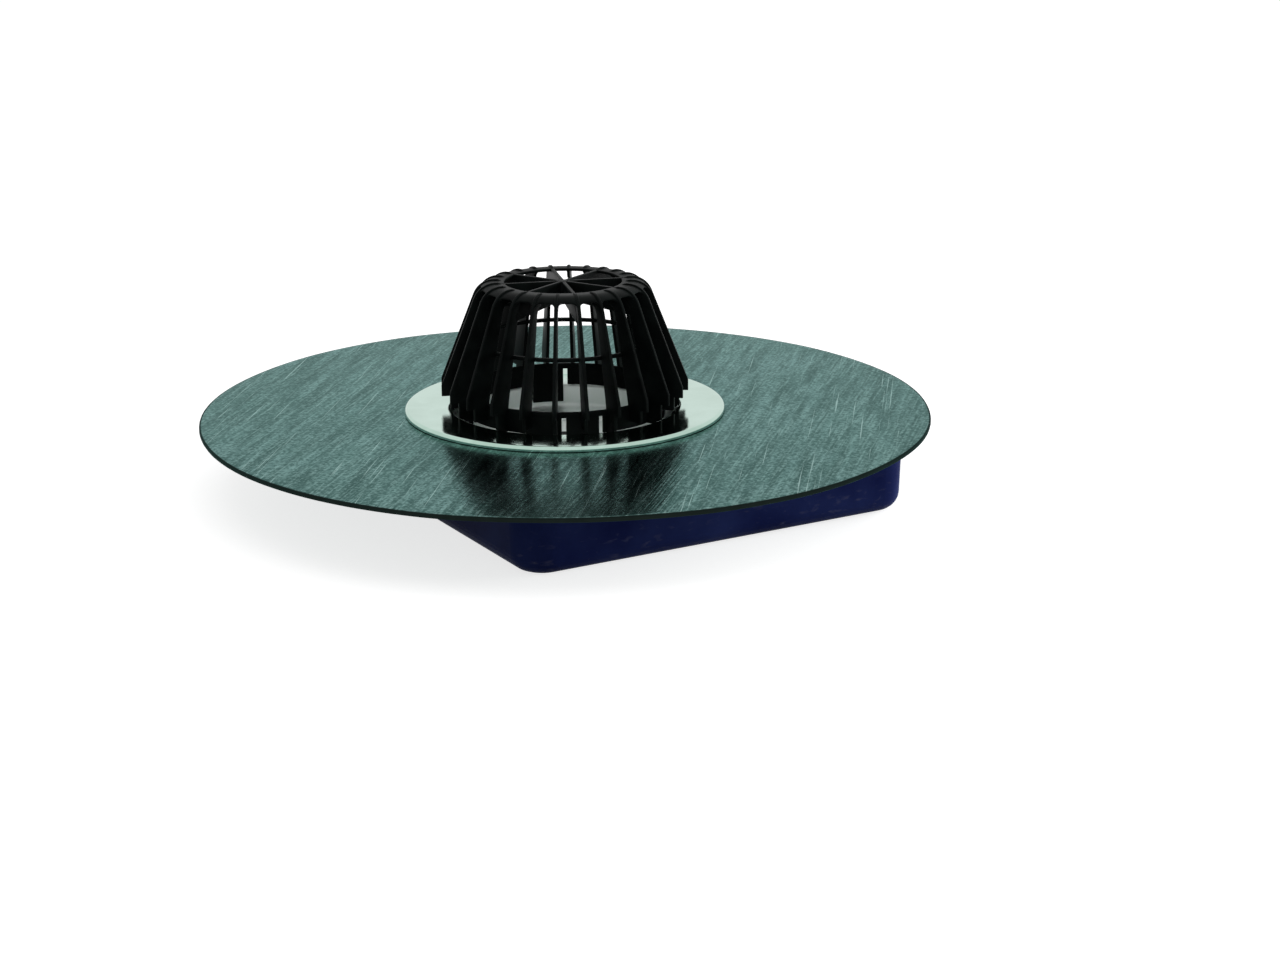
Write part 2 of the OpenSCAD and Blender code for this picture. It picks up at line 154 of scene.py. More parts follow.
def tray_material():
    """Dark blue moulded plastic, clouded a little, with pale scuffs low on its sides."""
    dark_blue = (0.005, 0.008, 0.046)
    light_blue = (0.014, 0.022, 0.085)
    scuffed_blue = (0.10, 0.10, 0.15)
    scuff_strength = 0.35
    material, tree, shader = base_finish("tray_plastic", (0.010, 0.015, 0.065), 0.5, gloss=0.01)
    blue = ramp(tree, grain(tree, 22.0), (0.3, dark_blue), (0.7, light_blue))
    rubs = grain(tree, 95.0, detail=6.0, stretch=(1.0, 1.0, 0.35), warp=0.6)
    scuff = spread(tree, rubs, 0.0, 1.0, start=0.58, end=0.72)
    # The scuffs are laid on more thickly towards the bottom, so the sides are paler low down.
    near_base = spread(tree, height_above_base(tree), 1.0, 0.12, start=4 * mm, end=30 * mm)
    paler_low_down = combine(tree, "MULTIPLY", scuff, near_base)
    paler_low_down = combine(tree, "MULTIPLY", paler_low_down, scuff_strength)
    tree.links.new(blended(tree, paler_low_down, blue, scuffed_blue), shader.inputs["Base Color"])
    tree.links.new(spread(tree, scuff, 0.46, 0.60), shader.inputs["Roughness"])
    relief(tree, shader, grain(tree, 900.0, detail=3.0), 0.03 * mm)
    return material


give("housing_tray", tray_material())


# ---- Insulation core ----
# Rigid foam that fills the tray round the bowl and the socket, cut from a block,
# with the cut faces showing its small closed cells.

def foam_material():
    """Cream foam with cells about a millimetre across."""
    cell_hollow = (0.55, 0.49, 0.32)
    cell_wall = (0.72, 0.66, 0.46)
    material, tree, shader = base_finish("foam", (0.68, 0.62, 0.42), 0.9)
    place = tree.nodes.new("ShaderNodeTexCoord")
    cells = tree.nodes.new("ShaderNodeTexVoronoi")
    cells.inputs["Scale"].default_value = 900.0
    tree.links.new(place.outputs["Object"], cells.inputs["Vector"])
    cream = ramp(tree, cells.outputs["Distance"], (0.1, cell_hollow), (0.6, cell_wall))
    tree.links.new(cream, shader.inputs["Base Color"])
    relief(tree, shader, cells.outputs["Distance"], 0.3 * mm)
    return material


give("insulation_core", foam_material())


# ---- Outlet socket ----
# The pipe socket under the bowl, moulded in black polypropylene, screwed to the
# tray's floor and sealed with rubber: a lip seal for the pipe, a ring for the spigot.

def socket_material():
    """Black moulded plastic with a fine sparked grain."""
    dark_black = (0.011, 0.012, 0.014)
    light_black = (0.020, 0.022, 0.026)
    material, tree, shader = base_finish("socket_plastic", (0.015, 0.017, 0.020), 0.42)
    cloud = grain(tree, 40.0)
    black = ramp(tree, cloud, (0.3, dark_black), (0.7, light_black))
    tree.links.new(black, shader.inputs["Base Color"])
    tree.links.new(spread(tree, cloud, 0.36, 0.5), shader.inputs["Roughness"])
    relief(tree, shader, grain(tree, 1400.0, detail=2.0), 0.04 * mm)
    return material


def rubber_material(name, colour):
    """Dull black rubber with a trace of pale bloom."""
    bloomed = tuple(2.2 * channel for channel in colour)
    material, tree, shader = base_finish(name, colour, 0.7)
    bloom = grain(tree, 60.0, detail=6.0)
    black = ramp(tree, bloom, (0.4, colour), (0.8, bloomed))
    tree.links.new(black, shader.inputs["Base Color"])
    tree.links.new(spread(tree, bloom, 0.62, 0.8), shader.inputs["Roughness"])
    relief(tree, shader, grain(tree, 2000.0, detail=2.0), 0.03 * mm)
    return material


def zinc_material(name, dark, light, roughness):
    """Zinc-plated steel: a grey with soft pale blooms, duller where it has bloomed."""
    material, tree, shader = base_finish(name, light, roughness, metallic=1.0)
    bloom = grain(tree, 120.0, detail=5.0)
    grey = ramp(tree, bloom, (0.3, dark), (0.75, light))
    dulled = spread(tree, bloom, roughness - 0.08, roughness + 0.12)
    tree.links.new(grey, shader.inputs["Base Color"])
    tree.links.new(dulled, shader.inputs["Roughness"])
    relief(tree, shader, grain(tree, 1600.0, detail=2.0), 0.02 * mm)
    return material


seal_rubber = rubber_material("seal_rubber", (0.014, 0.014, 0.014))
gasket_rubber = rubber_material("gasket_rubber", (0.012, 0.012, 0.012))
bolt_zinc = zinc_material("bolt_steel", (0.33, 0.35, 0.36), (0.52, 0.54, 0.55), roughness=0.3)
give("outlet_socket", socket_material())
give("pipe_lip_seal", seal_rubber)
give("spigot_ring", seal_rubber)
give("socket_gasket", gasket_rubber)
give("socket_screws", bolt_zinc)


# ---- Clamp ----
# A flat steel ring under the collar, drawn up by six bolts through the tray's posts
# into bushes welded under the bowl's rim, with rubber gaskets above and below the collar.

clamp_zinc = zinc_material("clamp_steel", (0.28, 0.30, 0.31), (0.42, 0.44, 0.45), roughness=0.38)
bush_zinc = zinc_material("bush_steel", (0.42, 0.46, 0.45), (0.58, 0.62, 0.61), roughness=0.28)
give("clamp_ring", clamp_zinc)
give("clamp_bolts", bolt_zinc)
give("bolt_washers", bolt_zinc)
give("rim_bushes", bush_zinc)
give("lower_gasket", gasket_rubber)
give("upper_gasket", gasket_rubber)


# ---- Lead collar ----
# A disc cut by hand from rolled lead sheet, gripped under the bowl's rim. The roof's
# membrane is dressed onto it. It has rolling streaks, scratches and a slightly ragged edge.

collar_low, collar_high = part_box("collar_sheet")
collar_r = collar_high.x
collar_under = collar_low.z
collar_top = collar_high.z
collar_hole_r = 85 * mm
collar_edge_r = 1 * mm
tray_reach = 200 * mm        # inside this radius the sheet lies flat on the tray


def shell(rows, ends):
    """A closed surface through rows of points: neighbours in a row and between rows are
    joined by quads. ends says whether the end rows are capped ("capped") or meet ("round").
    The faces point outwards: where the volumes of the cones from the surface's middle to its
    quads add up to less than 0, all of them are turned round."""
    count, around = rows.shape[:2]
    i = np.arange(count if ends == "round" else count - 1)[:, None]
    j = np.arange(around)[None, :]
    a = i * around + j
    b = i * around + (j + 1) % around
    c = ((i + 1) % count) * around + (j + 1) % around
    d = ((i + 1) % count) * around + j
    quads = np.stack([a, b, c, d], axis=-1).reshape(-1, 4)
    caps = np.array([np.arange(around)[::-1], np.arange(around) + (count - 1) * around])
    points = rows.reshape(-1, 3)
    p, q, r, s = (points[quads[:, k]] - points.mean(axis=0) for k in range(4))
    if np.sum(p * (np.cross(q, r) + np.cross(r, s))) < 0:
        quads = quads[:, ::-1]
        caps = caps[:, ::-1]
    faces = quads.tolist() + (caps.tolist() if ends == "capped" else [])
    return points, faces


def build_piece(name, shells, material, replaced):
    """One object from several closed surfaces, smooth except at edges over 40 degrees."""
    sharp_from = math.radians(40)
    points = []
    faces = []
    start = 0
    for shell_points, shell_faces in shells:
        points.append(shell_points)
        faces += [[start + k for k in face] for face in shell_faces]
        start += len(shell_points)
    mesh = bpy.data.meshes.new(name)
    mesh.from_pydata(np.concatenate(points).tolist(), [], faces)
    mesh.polygons.foreach_set("use_smooth", [True] * len(mesh.polygons))
    mesh.set_sharp_from_angle(angle=sharp_from)
    mesh.materials.append(material)
    piece = bpy.data.objects.new(name, mesh)
    bpy.context.scene.collection.objects.link(piece)
    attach(piece, "root")
    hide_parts(replaced)


def arc(centre, radius, start, end, steps):
    """Points of an arc: the centre plus the radius times (cos a, sin a), a in degrees."""
    a = np.radians(np.linspace(start, end, steps + 1))
    return np.column_stack([centre[0] + radius * np.cos(a), centre[1] + radius * np.sin(a)])


def about_axis(radius, height, a):
    """Points at a radius and a height, at an angle a about the Z axis:
    x is radius times cos a, y is radius times sin a, z is height."""
    return np.stack([radius * np.cos(a), radius * np.sin(a), height + 0 * a], axis=-1)


def turned(profile, steps):
    """A closed profile of (radius, height) carried once round the Z axis."""
    a = np.linspace(0, 2 * math.pi, steps, endpoint=False)[:, None]
    return about_axis(profile[None, :, 0], profile[None, :, 1], a)


def lead_sheet():
    """The disc's section turned about Z. Its edge is drawn in by up to 0.4 mm, and outside
    the tray the sheet waves by a fraction of a millimetre. Both are sums of a few sines:
    the first of the angle, the second of the plan position."""
    ragged_w = 12 * mm           # the strip along the edge that is drawn in
    ragged_depth = 0.14 * mm
    ragged_sines = ((7, 0.4), (13, 2.1), (29, 4.0), (61, 1.2), (113, 5.3))
    inward = 1.9                 # more than those sines reach, so that the edge only goes in
    loose_w = 50 * mm            # the strip in which the waves grow to their full height
    wave_height = 0.16 * mm
    edge_c = collar_r - collar_edge_r
    flat = np.linspace(collar_hole_r, edge_c, 56)[:-1]
    profile = np.concatenate([
        np.column_stack([flat, np.full_like(flat, collar_under)]),
        arc((edge_c, collar_under + collar_edge_r), collar_edge_r, -90, 0, 4),
        arc((edge_c, collar_top - collar_edge_r), collar_edge_r, 0, 90, 4),
        np.column_stack([flat[::-1], np.full_like(flat, collar_top)]),
    ])
    points = turned(profile, steps=720)
    x, y = points[..., 0], points[..., 1]
    r = np.hypot(x, y)
    a = np.arctan2(y, x)
    ragged = sum(np.sin(k * a + phase) / k ** 0.5 for k, phase in ragged_sines)
    near_edge = np.clip((r - (collar_r - ragged_w)) / ragged_w, 0, 1) ** 2
    draw_in = near_edge * ragged_depth * (ragged + inward)
    scale = (r - draw_in) / r
    points[..., 0] = x * scale
    points[..., 1] = y * scale
    wave = (
        np.sin(31 * x + 12 * y + 0.6)
        + 0.7 * np.sin(-17 * x + 43 * y + 2.0)
        + 0.4 * np.sin(71 * x - 37 * y + 4.4)
    )
    loose = np.clip((r - tray_reach) / loose_w, 0, 1) ** 2
    points[..., 2] += wave_height * loose * wave
    return points


def radius_of(tree):
    """The distance of a point from the drain's axis, in metres."""
    place = tree.nodes.new("ShaderNodeTexCoord")
    flat = tree.nodes.new("ShaderNodeVectorMath")
    flat.operation = "MULTIPLY"
    flat.inputs[1].default_value = (1.0, 1.0, 0.0)
    length = tree.nodes.new("ShaderNodeVectorMath")
    length.operation = "LENGTH"
    tree.links.new(place.outputs["Object"], flat.inputs[0])
    tree.links.new(flat.outputs["Vector"], length.inputs[0])
    return length.outputs["Value"]


def lead_material():
    """Dull grey-green lead: clouded, with the fine streaks of the rolling mill all one way,
    darker handling marks along them, and thin bright scratches. It keeps enough polish to
    mirror the guard that stands on it as a dark blur. The rounded edge is quite dull and carries a
    painted shade: it is painted much darker."""
    mill = -41.7                 # square to the way the sheet was rolled, in degrees about Z
    dark_lead = (0.050, 0.080, 0.072)
    mid_lead = (0.100, 0.155, 0.145)
    pale_lead = (0.160, 0.235, 0.230)
    handled_lead = (0.028, 0.046, 0.041)
    rolled_lead = (0.270, 0.385, 0.370)
    dark_pit = (0.018, 0.030, 0.027)
    bright_pit = (0.260, 0.360, 0.350)
    scratched_lead = (0.50, 0.62, 0.60)
    painted_edge_shade = (0.012, 0.018, 0.016)
    grazing_tint = (0.55, 0.72, 0.70)
    material, tree, shader = base_finish("collar_lead", (0.10, 0.125, 0.12), 0.3, metallic=1.0)
    cloud = grain(tree, 11.0, detail=8.0, warp=0.4)
    tone = ramp(tree, cloud, (0.32, dark_lead), (0.5, mid_lead), (0.68, pale_lead))
    streaks = grain(tree, 12.0, detail=7.0, stretch=(0.08, 1.0, 1.0), turn=mill)
    handled = spread(tree, streaks, 0.0, 0.95, start=0.36, end=0.64)
    tone = blended(tree, handled, tone, handled_lead)
    fine_streaks = grain(tree, 24.0, detail=5.0, stretch=(0.035, 1.0, 1.0), turn=mill - 3.0)
    rolled = spread(tree, fine_streaks, 0.0, 0.6, start=0.48, end=0.66)
    tone = blended(tree, rolled, tone, rolled_lead)
    pits = grain(tree, 520.0)
    tone = blended(tree, spread(tree, pits, 0.0, 0.8, start=0.48, end=0.62), tone, dark_pit)
    tone = blended(tree, spread(tree, pits, 0.45, 0.0, start=0.36, end=0.46), tone, bright_pit)
    lines = grain(tree, 8.0, detail=2.0, stretch=(0.008, 1.0, 1.0), turn=mill + 4.0)
    scratch = spread(tree, lines, 0.0, 0.7, start=0.68, end=0.71)
    tone = blended(tree, scratch, tone, scratched_lead)
    # Painted shade: the outer edge is painted near black for the shadow along the sheet's rounded
    # edge, and the same mask dulls it.
    dull_shaded_edge = spread(
        tree, radius_of(tree), 0.0, 1.0, start=collar_r - 1.9 * mm, end=collar_r - 1.2 * mm
    )
    tone = blended(tree, dull_shaded_edge, tone, painted_edge_shade)
    tree.links.new(tone, shader.inputs["Base Color"])
    shader.inputs["Specular Tint"].default_value = (*grazing_tint, 1.0)
    polish = spread(tree, streaks, 0.14, 0.25, start=0.3, end=0.7)
    dulled = combine(tree, "MULTIPLY", dull_shaded_edge, 0.5)
    tree.links.new(combine(tree, "ADD", polish, dulled), shader.inputs["Roughness"])
    pitting = combine(tree, "MULTIPLY", pits, 0.3)
    relief(tree, shader, combine(tree, "ADD", fine_streaks, pitting), 0.13 * mm)
    return material


build_piece(
    "lead_collar", [shell(lead_sheet(), "round")], lead_material(), "collar_sheet"
)


# ---- Pressed bowl ----
# One pressing of thin stainless steel: a flat rim with a rolled edge, a sloping mouth,
# a straight neck that the guard snaps into, a floor, and the spigot that enters the socket.

bowl_low, bowl_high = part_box("drain_bowl")
spigot_end = bowl_low.z
rim_top = bowl_high.z
rim_r = bowl_high.x
sheet_t = 1.5 * mm
mouth_r = 80 * mm
mouth_fall = 28.0            # the slope of the mouth, in degrees
neck_r = 69.5 * mm
bowl_floor = collar_top - 18 * mm
spigot_r = 50 * mm


def evenly(points, step):
    """The points of a path, with more added between them: each stretch is cut into the
    fewest equal parts that are no longer than a step."""
    reach = np.hypot(*np.diff(points, axis=0).T)
    counts = np.maximum(np.ceil(reach / step), 1).astype(int)
    index = np.repeat(np.arange(len(reach)), counts)
    first = np.repeat(np.cumsum(counts) - counts, counts)
    part = ((np.arange(counts.sum()) - first) / counts[index])[:, None]
    return np.concatenate([points[index] * (1 - part) + points[index + 1] * part, points[-1:]])


def set_off(path, distance):
    """A path moved sideways: each point goes by the distance times the sum of the normals
    on either side of it, divided by one plus their dot product."""
    run = np.diff(path, axis=0)
    normal = np.column_stack([-run[:, 1], run[:, 0]]) / np.hypot(*run.T)[:, None]
    before = np.concatenate([normal[:1], normal])
    after = np.concatenate([normal, normal[-1:]])
    return path + distance * (before + after) / (1 + np.sum(before * after, axis=1))[:, None]


def bowl_section():
    """The upper face from the rolled edge to the end of the spigot, as straights and arcs,
    and back along the lower face, which is the upper one set off by the sheet's thickness."""
    edge_gap = 0.4 * mm          # between the rolled edge and the collar
    roll = 2.3 * mm
    bend = 3 * mm
    bend_out = 1 * mm            # the mouth's upper bend is centred this far outside its radius
    foot = 4 * mm
    floor_fall = 1.5 * mm        # the floor's fall from the neck to the spigot
    mouth_c = np.array([mouth_r + bend_out, rim_top - bend])
    run = mouth_c[0] - neck_r - bend
    neck_c = np.array([neck_r + bend, mouth_c[1] - run * math.tan(math.radians(mouth_fall))])
    upper = np.concatenate([
        [[rim_r, collar_top + edge_gap]],
        arc((rim_r - roll, rim_top - roll), roll, 0, 90, 12),
        arc(mouth_c, bend, 90, 90 + mouth_fall, 8),
        arc(neck_c, bend, 90 + mouth_fall, 180, 12),
        arc((neck_r - foot, bowl_floor + foot), foot, 0, -90, 12),
        arc((spigot_r + foot, bowl_floor - floor_fall - foot), foot, 90, 180, 12),
        [[spigot_r, spigot_end]],
    ])
    upper = evenly(upper, 3 * mm)
    return np.concatenate([upper, set_off(upper, sheet_t)[::-1]])


def stainless_material():
    """Polished stainless steel with the faint rings of the spinning lathe and a few smears.
    The neck and the floor are matt and painted pale: a painted brightness for the light they
    reflect."""
    dark_steel = (0.41, 0.57, 0.49)
    light_steel = (0.47, 0.64, 0.56)
    painted_bright_steel = (0.84, 0.91, 0.88)
    material, tree, shader = base_finish("bowl_steel", (0.46, 0.62, 0.54), 0.16, metallic=1.0)
    rings = tree.nodes.new("ShaderNodeTexNoise")
    rings.noise_dimensions = "1D"
    rings.inputs["Scale"].default_value = 2600.0
    rings.inputs["Detail"].default_value = 3.0
    tree.links.new(radius_of(tree), rings.inputs["W"])
    smear = grain(tree, 45.0, warp=0.5)
    steel = ramp(tree, smear, (0.3, dark_steel), (0.7, light_steel))
    # Painted light: the neck and the floor are painted much paler for the light they reflect
    # inside the bowl, and the same mask makes them duller.
    matt_and_painted_bright = spread(tree, radius_of(tree), 1.0, 0.0, start=neck_r, end=mouth_r)
    tree.links.new(blended(tree, matt_and_painted_bright, steel, painted_bright_steel), shader.inputs["Base Color"])
    polished = spread(tree, smear, 0.05, 0.15)
    dulled = combine(tree, "MULTIPLY", matt_and_painted_bright, 0.45)
    tree.links.new(combine(tree, "ADD", polished, dulled), shader.inputs["Roughness"])
    relief(tree, shader, rings.outputs["Fac"], 0.012 * mm)
    return material


bowl_shell = shell(turned(bowl_section(), steps=288), "round")
build_piece("pressed_bowl", [bowl_shell], stainless_material(), "drain_bowl")


# ---- Leaf guard ----
# One moulding of black plastic: fins that stand in the bowl's mouth and lean in to a
# ring on top, a spoked grille, a hoop half way up, and a skirt with four snap tongues.

guard_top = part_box("leaf_guard")[1].z
guard_turn = 26.7            # how far the guard is turned in the bowl, in degrees
fin_count = 24
fin_lean = 21.5              # from upright, in degrees
foot_r = mouth_r + 5 * mm
foot_top = collar_top + 21.5 * mm
locate_r = mouth_r - 1 * mm  # the fins' lower ends fit inside the mouth
shoulder_r = 16 * mm         # the arc at the top of a fin's outer edge
shoulder_in_r = 7 * mm       # the arc at the top of its inner edge, about the same centre
lean_sin = math.sin(math.radians(fin_lean))
lean_cos = math.cos(math.radians(fin_lean))
lean_run = (guard_top - foot_top - shoulder_r * (1 - lean_sin)) / lean_cos
shoulder = np.array([
    foot_r - lean_run * lean_sin - shoulder_r * lean_cos,
    guard_top - shoulder_r,
])
ring_r = shoulder[0] - 2.7 * mm
ring_w = 4 * mm
ring_t = 2 * mm
ring_top = guard_top - 1 * mm
hub_r = 4.5 * mm
spoke_count = 8
spoke_depth = 12.8 * mm
spoke_fall = 4.5 * mm
skirt_t = 2 * mm
skirt_r = neck_r - 1.5 * mm - skirt_t
skirt_mid_r = skirt_r + skirt_t / 2
skirt_top = collar_top + 15.5 * mm
tongue_count = 4
fin_inner_top = shoulder + shoulder_in_r * np.array([lean_cos, lean_sin])
hoop_w = 3.5 * mm
hoop_t = 2.5 * mm
hoop_mid = collar_top + 49 * mm
hoop_r = np.interp(hoop_mid, [skirt_top, fin_inner_top[1]], [skirt_mid_r, fin_inner_top[0]])


def rounded_section(half_width, half_thickness, edge_r, steps=4):
    """A rectangle with rounded corners for each half width in an array: at each corner,
    its centre plus the edge radius times (cos a, sin a)."""
    corner = np.repeat(np.arange(4), steps + 1)
    a = np.radians(90 * corner + np.tile(np.linspace(0, 90, steps + 1), 4))
    side_x = np.array([1, -1, -1, 1])[corner]
    side_y = np.array([1, 1, -1, -1])[corner]
    half_width = np.asarray(half_width, float)[:, None]
    half_thickness = np.asarray(half_thickness, float)[:, None]
    x = side_x * (half_width - edge_r) + edge_r * np.cos(a)
    y = side_y * (half_thickness - edge_r) + edge_r * np.sin(a)
    return x, y


def spun(points, degrees):
    """Points turned about the Z axis: x becomes x cos a - y sin a, y becomes x sin a + y cos a."""
    a = math.radians(degrees)
    x, y, z = points[..., 0], points[..., 1], points[..., 2]
    across = x * math.cos(a) - y * math.sin(a)
    along = x * math.sin(a) + y * math.cos(a)
    return np.stack([across, along, z], axis=-1)


def fin_band(long):
    """The outer and the inner edge of a fin, as matching rows of (radius, height). A long
    fin starts at its heel on the bowl's slope, a short one just over the rim. Each edge goes
    up past the foot's step, leans in on a straight, and turns over its arc to the ring."""
    heel_r = 72.5 * mm
    heel_top = collar_top + 3.5 * mm
    short_heel = rim_top + 1.2 * mm
    foot_under = collar_top + 14 * mm
    ring_join_r = ring_r + 1 * mm
    ring_join_depth = 2.4 * ring_t
    ring_mid_r = ring_r - ring_w / 2
    in_r = skirt_mid_r
    outer_arc = arc(shoulder, shoulder_r, fin_lean, 90, 10)
    inner_arc = arc(shoulder, shoulder_in_r, fin_lean, 90, 10)
    lean = (foot_top - skirt_top) / (inner_arc[0, 1] - skirt_top)
    in_foot = np.array([in_r + (inner_arc[0, 0] - in_r) * lean, foot_top])
    in_bend = np.array([in_r, foot_under])
    outer = np.concatenate([
        [[heel_r, collar_top], [locate_r, heel_top]] if long else [[locate_r, short_heel]],
        [[locate_r, foot_under], [foot_r, foot_under], [foot_r, foot_top]],
        np.linspace([foot_r, foot_top], outer_arc[0], 8)[1:-1],
        outer_arc,
        [[ring_join_r, guard_top], [ring_mid_r, ring_top]],
    ])
    inner = np.concatenate([
        [[in_r, collar_top], [in_r, heel_top]] if long else [[in_r, short_heel]],
        [in_bend, in_bend + (in_foot - in_bend) / 6, in_foot],
        np.linspace(in_foot, inner_arc[0], 8)[1:-1],
        inner_arc,
        [[ring_join_r, ring_top - ring_join_depth], [ring_mid_r, ring_top - ring_t]],
    ])
    return outer, inner


def fin(long):
    """A rounded section carried up the fin: at each row it spans the two edges, and it
    thins a little towards the top, as the mould's draft needs."""
    half_t_foot = 1.2 * mm
    half_t_top = 1.05 * mm
    edge_r = 0.6 * mm
    outer, inner = fin_band(long)
    middle = (outer + inner) / 2
    half = (outer - inner) / 2
    half_width = np.hypot(*half.T)
    direction = half / half_width[:, None]
    half_thickness = np.interp(middle[:, 1], [collar_top, guard_top], [half_t_foot, half_t_top])
    x, y = rounded_section(half_width, half_thickness, edge_r)
    radius = middle[:, 0, None] + x * direction[:, 0, None]
    height = middle[:, 1, None] + x * direction[:, 1, None]
    return np.stack([radius, y, height], axis=-1)


def hoop(mid_r, mid_z, width, thickness, edge_r):
    """A rounded section turned about the Z axis."""
    x, y = rounded_section([width / 2], [thickness / 2], edge_r)
    return turned(np.column_stack([mid_r + x[0], mid_z + y[0]]), steps=192)


def crown():
    """The top ring and the wall that closes the fins' shoulders: a section of (radius, height)
    for each angle about the axis. Its outer end lies on the shoulder's arc and drops beside
    each fin by r minus the root of (r squared minus s squared), where s is the way into
    the corner, so that the slots between the fins end in rounded corners."""
    wall = 1.6 * mm
    wall_end = math.radians(55)  # where the wall ends between the fins, up the shoulder's arc
    corner_r = 3.6 * mm
    fin_half_t = 1 * mm
    ring_edge_r = 0.6 * mm
    ring_join_r = ring_r + 0.4 * mm
    out_r = shoulder_r - (guard_top - ring_top)
    mid_r = out_r - wall / 2
    a = np.linspace(0, 2 * math.pi, fin_count * 30, endpoint=False)
    pitch = 2 * math.pi / fin_count
    from_fin = np.abs((a + pitch / 2) % pitch - pitch / 2) * (shoulder[0] + mid_r / 2)
    into_corner = np.clip(corner_r + fin_half_t - from_fin, 0, corner_r)
    drop = corner_r - np.sqrt(corner_r ** 2 - into_corner ** 2)
    end = (wall_end - drop / mid_r)[:, None]
    sweep = math.pi / 2 + (end - math.pi / 2) * np.linspace(0, 1, 11)[None, :]
    tip = end - np.linspace(0, math.pi, 7)[None, 1:-1]
    tip_c = shoulder[:, None, None] + mid_r * np.stack([np.cos(end), np.sin(end)])
    tip_at = tip_c + wall / 2 * np.stack([np.cos(tip), np.sin(tip)])
    over = shoulder[:, None, None] + out_r * np.stack([np.cos(sweep), np.sin(sweep)])
    under = shoulder[:, None, None] + (out_r - wall) * np.stack([np.cos(sweep), np.sin(sweep)])
    in_c = ring_r - ring_w + ring_edge_r
    low_c = ring_top - ring_t + ring_edge_r
    ring_edge = np.concatenate([
        [[ring_join_r, ring_top - wall]],
        arc((ring_r - ring_edge_r, low_c), ring_edge_r, 0, -90, 4),
        arc((in_c, low_c), ring_edge_r, -90, -180, 4),
        arc((in_c, ring_top - ring_edge_r), ring_edge_r, 180, 90, 4),
    ]).T[:, None, :] * np.ones((1, len(a), 1))
    radius, height = np.concatenate([over, tip_at, under[:, :, ::-1], ring_edge], axis=2)
    return about_axis(radius, height, a[:, None])


def spoke():
    """A rounded section carried straight out from the hub, under the top ring, into a fin.
    It is a rib on edge, whose lower edge falls evenly on the way out."""
    start_r = 3 * mm
    end_r = shoulder[0] + 8.9 * mm
    end_drop = 13 * mm           # the upper edge's, so that the rib ends inside the fin
    half_t = 1.3 * mm
    edge_r = 0.5 * mm
    at = np.array([start_r, shoulder[0], end_r])
    low = ring_top - spoke_depth - spoke_fall * (at - hub_r / 2) / (end_r - hub_r / 2)
    high = np.array([ring_top, ring_top, ring_top - end_drop])
    x, y = rounded_section((high - low) / 2, [half_t] * 3, edge_r)
    return np.stack([at[:, None] + 0 * x, y, ((high + low) / 2)[:, None] + x], axis=-1)


def hub():
    """A post turned about the Z axis: rings up its side and round its two edges, to be capped."""
    edge_r = 0.5 * mm
    low = ring_top - spoke_depth
    side = np.concatenate([
        arc((hub_r - edge_r, low + edge_r), edge_r, -90, 0, 4),
        arc((hub_r - edge_r, ring_top - edge_r), edge_r, 0, 90, 4),
    ])
    return turned(side, steps=48).swapaxes(0, 1)


def bent_strip(section, start, end, steps):
    """A closed section of (radius, height) carried round the Z axis between two angles."""
    a = np.radians(np.linspace(start, end, steps + 1))[:, None]
    return about_axis(section[None, :, 0], section[None, :, 1], a)


def skirt_parts():
    """The skirt's upper band, its lower panels between the slots, and the snap tongues."""
    band = 4 * mm
    band_edge_r = 0.4 * mm
    lap = 1 * mm                 # how far a panel and a tongue run up into the band
    inside = 0.05 * mm           # and how far they stay inside its faces
    tongue_half = math.degrees(11 * mm / skirt_mid_r)
    slot_half = math.degrees(14 * mm / skirt_mid_r)
    tongue_low = collar_top - 12.5 * mm
    tongue_tip = 0.5 * mm        # how much thinner a tongue is at its end
    barb_r = neck_r - 0.3 * mm
    barb_mid = tongue_low + 2.5 * mm
    barb_top = tongue_low + 4 * mm
    in_r = skirt_r + inside
    out_r = skirt_r + skirt_t - inside
    slot_top = skirt_top - band
    panel = np.array([
        [in_r, collar_top],
        [out_r, collar_top],
        [out_r, slot_top + lap],
        [in_r, slot_top + lap],
    ])
    tongue = np.array([
        [in_r, slot_top + lap],
        [in_r, tongue_low],
        [skirt_r + skirt_t - tongue_tip, tongue_low],
        [barb_r, barb_mid],
        [out_r, barb_top],
        [out_r, slot_top + lap],
    ])
    band_mid = (skirt_top + slot_top) / 2
    parts = [shell(hoop(skirt_mid_r, band_mid, skirt_t, band, band_edge_r), "round")]
    pitch = 360 / tongue_count
    for k in range(tongue_count):
        middle = pitch * (k + 0.5)
        tongue_at = bent_strip(tongue, middle - tongue_half, middle + tongue_half, steps=8)
        panel_at = bent_strip(panel, middle + slot_half, middle + pitch - slot_half, steps=30)
        parts.append(shell(tongue_at, "capped"))
        parts.append(shell(panel_at, "capped"))
    return parts


def guard_parts():
    """All the moulding's forms, turned to where the guard stands in the bowl."""
    hoop_edge_r = 0.6 * mm
    fins = [spun(fin(k % 2 == 0), 360 * k / fin_count) for k in range(fin_count)]
    spokes = [spun(spoke(), 360 * k / spoke_count) for k in range(spoke_count)]
    parts = [shell(rows, "capped") for rows in (*fins, *spokes, hub())]
    parts.append(shell(crown(), "round"))
    parts.append(shell(hoop(hoop_r, hoop_mid, hoop_w, hoop_t, hoop_edge_r), "round"))
    parts += skirt_parts()
    return [(spun(points, guard_turn), faces) for points, faces in parts]


